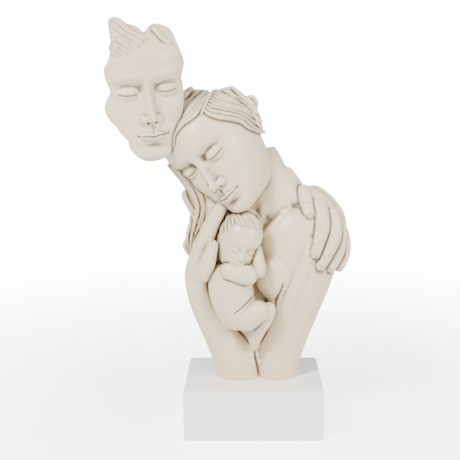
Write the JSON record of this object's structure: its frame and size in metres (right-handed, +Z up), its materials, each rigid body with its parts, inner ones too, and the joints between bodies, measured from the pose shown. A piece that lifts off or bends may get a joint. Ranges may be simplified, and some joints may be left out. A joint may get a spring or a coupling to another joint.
{
  "type": "family group sculpture",
  "caption": "Decorative tabletop sculpture on a block: a mask-like man's face leans on a woman's head while she holds a baby in her arm",
  "frame": {"origin": "centre of the plinth's underside", "axes": "+Z up, +X to the viewer's right, -Y to the front, the side the faces look to"},
  "size_m": [0.2038, 0.1028, 0.3548],
  "materials": {
    "cast_resin": "matt stone-coloured cast resin",
    "plinth_paint": "satin white paint"
  },
  "bodies": {
    "root": {"family_group": "cast_resin", "plinth": "plinth_paint"}
  },
  "joints": []
}
